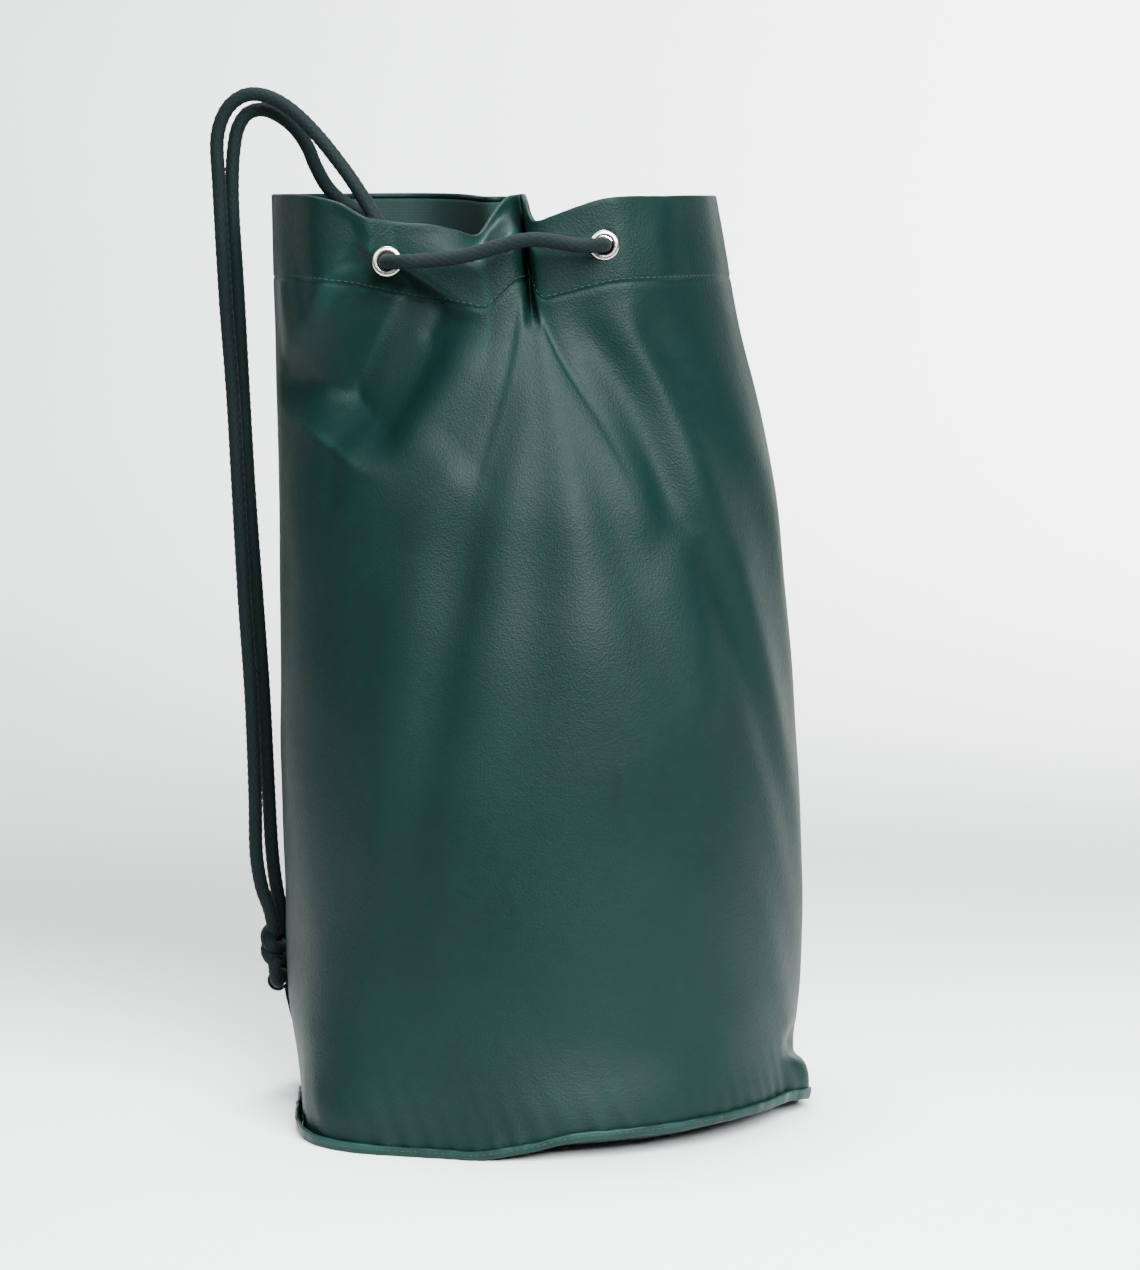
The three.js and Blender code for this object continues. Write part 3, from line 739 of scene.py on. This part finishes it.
def thick(name, outer, normals, thickness, keep=None, material=VINYL, back=None, cap=0.0):
    """A closed layer from a grid of points on its outer face. keep says which cells are there; cap is how far
    the top edge is rolled inwards in millimetres."""
    rows, columns = outer.shape[:2]
    keep = np.ones((rows - 1, columns - 1), bool) if keep is None else keep
    inner = outer - normals * thickness * MM
    verts = [outer.reshape(-1, 3), inner.reshape(-1, 3)]
    count = rows * columns
    cells = np.argwhere(keep)
    j, i = cells.T
    a = j * columns + i
    faces = [np.column_stack([a, a + 1, a + columns + 1, a + columns]),
             np.column_stack([a, a + columns, a + columns + 1, a + 1]) + count]
    gone = ~np.pad(keep, 1)
    for dj, di, p, q in ((0, -1, columns, 0), (0, 1, 1, columns + 1), (-1, 0, 0, 1),
                         (1, 0, columns + 1, columns)):
        edge = gone[j + 1 + dj, i + 1 + di]
        if cap and dj == 1:  # the rolled rim closes the top edge
            edge = edge & (j < rows - 2)
        e = a[edge]
        faces.append(np.column_stack([e + p, e + p + count, e + q + count, e + q]))
    if cap:
        roll, joined = rim_roll(outer, normals, thickness, cap, count)
        verts.append(roll)
        faces.append(joined)
    verts = np.vstack(verts)
    faces = np.vstack(faces)
    used, renumbered = np.unique(faces, return_inverse=True)
    obj = new_mesh(name, verts[used], renumbered.reshape(faces.shape), material)
    if back:
        obj.data.materials.append(back)
        is_back = np.all(faces >= count, axis=1) & np.all(faces < 2 * count, axis=1)
        obj.data.polygons.foreach_set("material_index", is_back.astype(np.int32))
    return obj, used


def rim_roll(outer, normals, thickness, cap, count):
    """The folded rim: extra rows that turn the top edge over, and down again on the inside."""
    columns = outer.shape[1]
    top, out = outer[-1], normals[-1]
    up = unit(outer[-1] - outer[-2])
    radius = cap / 2 * MM
    rows = [top + up * radius * math.sin(a) - out * radius * (1 - math.cos(a))
            for a in np.linspace(0, math.pi, 9)[1:]]
    rows.append(rows[-1] - up * 1.4 * MM)
    rows.append(top - out * (thickness + 0.1) * MM - up * 1.4 * MM)
    start = 2 * count
    first = (outer.shape[0] - 1) * columns
    rings = [first] + [start + k * columns for k in range(len(rows))] + [first + count]
    i = np.arange(columns - 1)
    faces = [np.column_stack([a + i, a + i + 1, b + i + 1, b + i]) for a, b in zip(rings[:-1], rings[1:])]
    rings = np.array(rings)
    for k in range(len(rings) // 2 - 1):
        end = rings[[k, k + 1, len(rings) - 2 - k, len(rings) - 1 - k]]
        faces.append(np.array([end, end[::-1] + columns - 1]))
    return np.vstack(rows), np.vstack(faces)


def eyelet_holes(outer):
    """Which cells of a panel stay once the eyelets' holes are cut, and its points moved to their edges."""
    centre = (outer[:-1, :-1] + outer[1:, :-1] + outer[:-1, 1:] + outer[1:, 1:]) / 4
    keep = np.ones(centre.shape[:2], bool)
    hole = FLANGE - 1.6
    moved = outer.copy()
    for place in EYELETS.values():
        from_centre = np.hypot(centre[..., 0] - place.x, centre[..., 2] - place.z)
        keep &= (centre[..., 1] * place.y <= 0) | (from_centre >= hole * MM)
        off = moved[..., [0, 2]] - (place.x, place.z)
        far = np.linalg.norm(off, axis=-1)
        near = (moved[..., 1] * place.y > 0) & (far < (hole + 1.2) * MM) & (far > 0)
        push = np.where(near & touches_gap(keep), hole * MM / np.maximum(far, 1e-9), 1)
        moved[..., 0] = place.x + off[..., 0] * push
        moved[..., 2] = place.z + off[..., 1] * push
    return keep, moved


def touches_gap(keep):
    """Which points have both a cell that stays and a cell that is cut beside them."""
    cut, stays = (cells[:-1, :-1] | cells[1:, :-1] | cells[:-1, 1:] | cells[1:, 1:]
                  for cells in (np.pad(~keep, 1), np.pad(keep, 1)))
    return cut & stays


HEIGHT_ROWS = np.sort(np.concatenate([  # closer together at the foot and beside the hem's stitching
    [0, 1.2, 2.6, 4.2, 6], np.linspace(8, HEM_Z - 4, 190),
    HEM_Z + np.array([-2.2, -1.1, -0.4, 0.4, 1.1, 2.2]), np.linspace(HEM_Z + 4, HEIGHT - RIM_FOLD / 2, 21)]))


def creased(points):
    """How sharply the cloth is creased outwards at each point, from 0 to 1."""
    bend = np.zeros(points.shape[:2])
    mean = (points[1:-1, :-2] + points[1:-1, 2:] + points[:-2, 1:-1] + points[2:, 1:-1]) / 4
    bend[1:-1, 1:-1] = np.linalg.norm(points[1:-1, 1:-1] - mean, axis=-1)
    return np.clip(bend / (0.35 * MM), 0, 1)


def make_wall():
    for side, start in (("front", 0.0), ("back", 0.5)):
        shares = panel_shares(start, 188)
        points, normals = wall.at(shares, HEIGHT_ROWS)
        points = sewn(shares, HEIGHT_ROWS, points, normals, start)
        keep, points = eyelet_holes(points)
        panel, used = thick(side + "_cloth", points, normals, CLOTH, keep, VINYL, BACKING, RIM_FOLD)
        paleness = np.zeros(used.max() + 1)
        paleness[:points[..., 0].size] = creased(points).ravel()
        point_attribute(panel, "paleness", paleness[used])
        placed(panel, "bag", side + "_panel")

        points, normals = wall.at(shares[1:-1], np.linspace(HEM_Z - 1, HEIGHT - 3.1, 26))
        keep, points = eyelet_holes(points)
        facing, _ = thick(side + "_facing", points - normals * (CLOTH + 0.25) * MM, normals, CLOTH, keep,
                          BACKING)
        placed(facing, "bag", side + "_hem_facing")
    for side, at in (("left", 0.0), ("right", 0.5)):
        shares = at + np.linspace(-9, 9, 15) / PERIMETER
        points, normals = wall.at(shares, np.linspace(10, HEM_Z - 4, 110))
        tape, used = thick(side + "_tape", points - normals * (CLOTH + 1) * MM, normals, 0.8,
                           material=BINDING)
        point_attribute(tape, "paleness", np.zeros(len(used)))
        placed(tape, "bag", side + "_seam_tape")


make_wall()


# ---- Sweeps and stitches ----
def sweep(name, centres, across, up, section, material):
    """A strip along a line: section is (across, up) pairs in millimetres at each of its points."""
    section = np.array(section, float) * MM
    rings = centres[:, None] + across[:, None] * section[None, :, :1] + up[:, None] * section[None, :, 1:]
    return tube(name, rings, material, flip=True)


def rounded_strip(width, height, corner):
    """A flat strip's section with rounded edges, as (across, up) pairs."""
    return [(cx * (width / 2 - corner) + corner * math.cos(a),
             cy * (height / 2 - corner) + corner * math.sin(a))
            for cx, cy, start in ((1, 1, 0), (-1, 1, 90), (-1, -1, 180), (1, -1, 270))
            for a in np.radians(start + np.array([0, 30, 60, 90]))]


STITCH = 2.7 * MM  # length of one
STITCH_PITCH = 3.7 * MM
THREAD_SIZE = 0.3 * MM  # half the thread's thickness


def stitches(name, line, out):
    """A row of thread stitches along a line on the cloth, each a short bead sunk a little at its ends."""
    along = reach(line)
    count = int(along[-1] / STITCH_PITCH)
    at = (np.arange(count) + 0.5) * along[-1] / count
    middle = np.column_stack([np.interp(at, along, c) for c in line.T])
    tangent = unit(np.column_stack([np.interp(at, along, c) for c in np.gradient(line, axis=0).T]))
    normal = unit(np.column_stack([np.interp(at, along, c) for c in out.T]))
    side = unit(np.cross(tangent, normal))
    t, a = (grid.ravel() for grid in np.meshgrid((-1, -0.8, -0.35, 0.35, 0.8, 1), np.arange(6) * np.pi / 3,
                                                 indexing="ij"))
    width = THREAD_SIZE * (0.25 + 0.75 * np.sqrt(1 - 0.96 * t * t))
    sunk = THREAD_SIZE * (0.2 + 1.1 * t * t)
    shape = np.column_stack([t * STITCH / 2, width * np.cos(a), width * np.sin(a) * 0.8 - sunk])
    verts = (middle[:, None] + tangent[:, None] * shape[None, :, :1] + side[:, None] * shape[None, :, 1:2]
             + normal[:, None] * shape[None, :, 2:])
    one = ring_faces(6, 6).tolist() + [[5, 4, 3, 2], [5, 2, 1, 0], [30, 31, 32, 33], [30, 33, 34, 35]]
    faces = (np.array(one)[None, :, ::-1] + (np.arange(count) * len(shape))[:, None, None]).reshape(-1, 4)
    placed(new_mesh(name, verts.reshape(-1, 3), faces, THREAD), "bag")


def make_hem_stitches():
    for side, start in (("front", 0.0), ("back", 0.5)):
        shares = np.linspace(start + 0.004, start + 0.496, 900)
        points, normals = wall.at(shares, [HEM_Z + 1.9])
        stitches(side + "_hem_stitches", points[0] + normals[0] * 0.12 * MM, normals[0])


make_hem_stitches()

# ---- Eyelets ----
# Sections as (radius, height out from the cloth): a domed flange with its barrel, curled over the washer.
EYELET_SECTION = [(5, -4.6), (5.1, -5.1), (5.5, -5.4), (6.1, -5.45), (6.5, -5.2), (6.55, -4.8), (6.4, -4.62),
                  (5.7, -4.62), (5.6, -4.5), (5.6, 0.2), (5.75, 0.3), (7.92, 0.32), (8, 0.5), (7.75, 0.9),
                  (7.2, 1.3), (6.5, 1.55), (5.8, 1.55), (5.3, 1.35), (5.05, 1.05), (5, 0.7)]
WASHER_SECTION = [(5.95, -4.2), (6.15, -4.3), (7.6, -4.3), (7.95, -4.15), (8, -3.9), (7.8, -3.72),
                  (6.1, -3.7), (5.95, -3.8)]
TURNS = 48  # points round an eyelet


def turned(name, section, centre, node):
    """A turned ring about the Y axis through centre, heights counted outwards from the bag."""
    out = math.copysign(1, centre[1])
    turns = np.linspace(0, 2 * np.pi, TURNS, endpoint=False) * out
    radius, height = np.array(section).T * MM
    rings = np.stack([centre[0] + radius[None] * np.cos(turns)[:, None],
                      centre[1] + out * np.broadcast_to(height, (TURNS, len(height))),
                      centre[2] + radius[None] * np.sin(turns)[:, None]], axis=-1)
    placed(tube(name, rings[::-1], NICKEL, closed=True, flip=True), "bag", node)


def make_eyelets():
    for name, centre in THROUGH_EYELET.items():
        turned(name + "_ring", EYELET_SECTION, centre, name + "_eyelet")
        turned(name + "_ring_washer", WASHER_SECTION, centre, name + "_eyelet_washer")


make_eyelets()

# ---- Base ----
AROUND_BASE = 720
TAPE = 2.2  # thickness of the binding
# The bound seam's width and how steeply it stands, in degrees, against the share of the way round.
BINDING_WIDTH = [(0, 6), (0.04, 8), (0.075, 9), (0.11, 6), (0.18, 5), (0.42, 5), (0.46, 6), (0.49, 6),
                 (0.53, 5), (0.7, 5.2), (1, 6)]
BINDING_SLOPE = [(0, 84), (0.05, 78), (0.08, 74), (0.12, 82), (0.18, 85), (0.44, 84), (0.475, 80), (0.5, 84),
                 (1, 84)]


def base_edge():
    """The wall's lower edge: shares, points and level outward directions."""
    shares = np.arange(AROUND_BASE) / AROUND_BASE
    points, normals = wall.at(shares, [0.0])
    return shares, points[0], unit(normals[0] * (1, 1, 0))


def make_base(edge, out):
    """The round bottom, a little uneven, level with the wall's lower edge."""
    inner = edge - out * (CLOTH + 0.35) * MM
    radial = np.array([0.002, 0.12, 0.3, 0.5, 0.68, 0.8, 0.88, 0.93, 0.965, 0.985, 1.0])
    wave = soft_noise((len(radial), AROUND_BASE), 6, 11)
    rings = np.empty((AROUND_BASE, 2 * len(radial), 3))
    for k, r in enumerate(radial):
        level = inner[:, 2] * r ** 7 + np.abs(wave[k]) * 0.5 * MM * r * (1 - r) * 4
        for row, thickness in ((k, CLOTH * MM), (-1 - k, 0)):
            rings[:, row] = np.column_stack([inner[:, :2] * r, level + thickness])
    base = tube("base_cloth", rings[:, ::-1], VINYL, closed=True, flip=True)
    point_attribute(base, "paleness", np.zeros(rings[..., 0].size))
    placed(base, "bag", "base_panel")


def make_binding(shares, edge, out):
    """The tape round the bottom's seam, ruffled, with its stitching."""
    width = through(BINDING_WIDTH, shares)
    slope = np.radians(through(BINDING_SLOPE, shares))
    ruffle = np.sin(2 * np.pi * (shares * 61 + 0.4 * np.sin(2 * np.pi * shares * 4)))
    ruffle = 0.45 * ruffle + 0.5 * np.sin(2 * np.pi * (shares * 23 + 0.13))
    up = np.array((0, 0, 1.0))
    rise = out * np.cos(slope)[:, None] + up * np.sin(slope)[:, None]
    face = out * np.sin(slope)[:, None] - up * np.cos(slope)[:, None]
    foot = edge + out * (0.35 + TAPE / 2) * MM + out * np.abs(ruffle)[:, None] * 0.5 * MM
    foot[:, 2] = np.maximum(foot[:, 2], TAPE / 2 * np.cos(slope) * MM)
    section = rounded_strip(1.0, TAPE, 0.46)
    rings = np.empty((AROUND_BASE, len(section), 3))
    rub_and_painted_top_highlight = np.empty((AROUND_BASE, len(section)))
    rub = np.clip(0.5 + 0.5 * soft_noise((8, AROUND_BASE), 5, 21)[0], 0, 1)
    for k, (x, y) in enumerate(section):
        along = (x + 0.5) * (width + 0.35 * ruffle)
        sway = y + 0.35 * ruffle * (x + 0.5)
        rings[:, k] = foot + rise * along[:, None] * MM + face * sway[:, None] * MM
        # The rubbed patches are wear; making the upper half of the section paler than the lower is painted
        # highlight.
        rub_and_painted_top_highlight[:, k] = (0.35 + 0.65 * (x > 0)) * rub
    rings[..., 2] = np.maximum(rings[..., 2], 0)
    binding = tube("base_tape", rings[:, ::-1], BINDING, closed=True, flip=True)
    point_attribute(binding, "paleness", rub_and_painted_top_highlight[:, ::-1])
    placed(binding, "bag", "base_binding")
    row = foot + rise * (width * 0.62)[:, None] * MM + face * (TAPE / 2 + 0.12) * MM
    stitches("base_stitches", np.vstack([row, row[:1]]), np.vstack([face, face[:1]]))


make_base(*base_edge()[1:])
make_binding(*base_edge())

# ---- Where the shoulder cords are fastened ----
# Heights, and distances out from the wall, in millimetres.
TAB_SHARE = 1 - 15.8 / PERIMETER
TAB_WIDTH = 10
TAB_STEPS = 90
LOOP_Z, LOOP_OUT, LOOP_RADIUS = 66, 6.5, 5.3
KNOT_Z, KNOT_OUT = 84, 8.2


def beside(along, z, out):
    """A point so far along the wall toward the back from the tab, so high, and so far out from the cloth."""
    return wall.spot(TAB_SHARE - along / PERIMETER, z, out)


def make_tab():
    """A strip of cloth sewn to the wall, its upper end turned over into a loop for the rope."""
    loop = [(LOOP_OUT + LOOP_RADIUS * math.cos(a), LOOP_Z + LOOP_RADIUS * math.sin(a))
            for a in np.radians(np.arange(180, -136, -22.5))]
    path = ([(0.95, 29), (0.95, 40), (0.95, 52), (0.95, 60)] + loop
            + [(2.4, 57.5), (2.25, 52), (2.25, 40), (2.25, 28)])
    centres = np.array([beside(0, z, out) for out, z in spaced(path, TAB_STEPS)])
    across = unit(beside(2, 45, 1) - beside(-2, 45, 1)) * np.ones((TAB_STEPS, 1))
    up = np.cross(across, unit(np.gradient(centres, axis=0)))
    section = rounded_strip(TAB_WIDTH, CLOTH, 0.5)
    tab = sweep("rope_tab", centres, across, up, section, VINYL)
    point_attribute(tab, "paleness", np.tile([0.7 if abs(x) > 4.4 else 0.1 for x, y in section], TAB_STEPS))
    placed(tab, "bag", "anchor_tab")
    heights = np.linspace(30, 54, 30)
    for name, side in (("near", -3.6), ("far", 3.6)):
        line = np.array([beside(side, z, 2.95) for z in heights])
        out = np.array([beside(side, z, 9) - beside(side, z, 3) for z in heights])
        stitches(f"tab_stitches_{name}", line, out)


def make_knot():
    """Two turns of the rope round the pair of cords, its way through the tab's loop, and its loose ends."""
    centre = beside(0, KNOT_Z, KNOT_OUT)
    out = unit((beside(0, KNOT_Z, KNOT_OUT + 5) - centre) * (1, 1, 0))
    back = np.cross((0, 0, 1.0), out)
    turns = [centre - back * 8.4 * MM * math.cos(a) + out * 3.3 * MM * math.sin(a)
             + np.array((0, 0, (7.6 - 7.3 * a / (2 * math.pi) + 2.4 * math.sin(a + 0.6)) * MM))
             for a in np.linspace(0.3, 4.15 * math.pi, 34)]
    through_loop = [(-10.5, 80, 7), (-11, 73, 6.6), (-9, 68, 6.5), (-5, 66, 6.5), (0, 66, 6.5), (5, 66, 6.5),
                    (9, 68, 6.5), (11, 73, 6.6), (10.5, 80, 7)]
    tails = [[(4, 86, 7.5), (9, 84, 8), (14, 76, 6.2), (17.5, 66, 5.2), (19, 50, 5), (20, 32, 5)],
             [(3, 88, 7.5), (10, 88, 8), (19, 86, 6.4), (26, 78, 5.2), (29, 64, 5), (30.5, 46, 5)]]
    lines = [turns] + [[beside(*p) for p in line] for line in [through_loop] + tails]
    for name, points in zip(("knot_turns", "knot_in_loop", "rope_end_long", "rope_end_short"), lines):
        piece, _ = braided(name, points)
        placed(piece, "bag", "cord_knot" if name == "knot_turns" else None)


make_tab()
make_knot()


# ---- Stage ----
def add_light(name, place, target, size, energy, color, spread=180):
    """An area light of this width and height in metres and power in watts, turned to its target."""
    light = bpy.data.lights.new(name, "AREA")
    light.shape = "RECTANGLE"
    light.size, light.size_y = size
    light.energy = energy
    light.color = color
    light.spread = math.radians(spread)
    lamp = bpy.data.objects.new(name, light)
    lamp.location = place
    lamp.rotation_euler = (Vector(target) - Vector(place)).to_track_quat("-Z", "Y").to_euler()
    bpy.context.scene.collection.objects.link(lamp)


def paper_material():
    n = Look("paper", (0.8, 0.81, 0.81), 0.9, specular=0.2)
    return n.finish(n.ramp(n.noise(3, 2), (0.3, (0.80, 0.81, 0.81)), (0.7, (0.83, 0.84, 0.835))), None,
                    n.bump(n.noise(400, 2), 0.0002, 0.2))


def make_stage():
    """A pale paper sweep, a big soft key light in front to the right with a weak fill to the left, one light
    on the floor from above and one on the paper behind."""
    near, floor_end, sweep, top = -0.37, 1.9, 0.7, 4.0
    curve = [(floor_end + sweep * math.sin(a), sweep * (1 - math.cos(a)))
             for a in np.linspace(0.1, math.pi / 2, 14)]
    profile = [(near, 0), (floor_end, 0)] + curve + [(floor_end + sweep, top)]
    verts = [(x, y, z) for y, z in profile for x in (-5, 5)]
    faces = [(2 * i, 2 * i + 1, 2 * i + 3, 2 * i + 2) for i in range(len(profile) - 1)]
    new_mesh("floor", verts, faces, paper_material())
    bpy.context.scene.world = bpy.data.worlds.new("studio")
    bpy.context.scene.world.use_nodes = True
    background = bpy.context.scene.world.node_tree.nodes["Background"]
    background.inputs["Color"].default_value = (0.86, 0.92, 1, 1)
    background.inputs["Strength"].default_value = 0.14
    add_light("key", (0.75, -1.75, 1.5), (0, 0, 0.35), (1.8, 1.4), 325, (0.92, 0.975, 1))
    add_light("fill", (-1.1, -1.7, 1.3), (0, 0, 0.35), (1.5, 1.5), 50, (0.93, 0.98, 1))
    add_light("top", (-0.1, 0.2, 2.3), (0.18, -0.25, 0), (0.7, 0.7), 11, (0.97, 0.985, 1), 45)
    add_light("wash", (1.3, 1.1, 1.5), (0.65, 2.5, 0.35), (0.9, 0.9), 85, (1, 0.99, 0.98), 115)


make_stage()
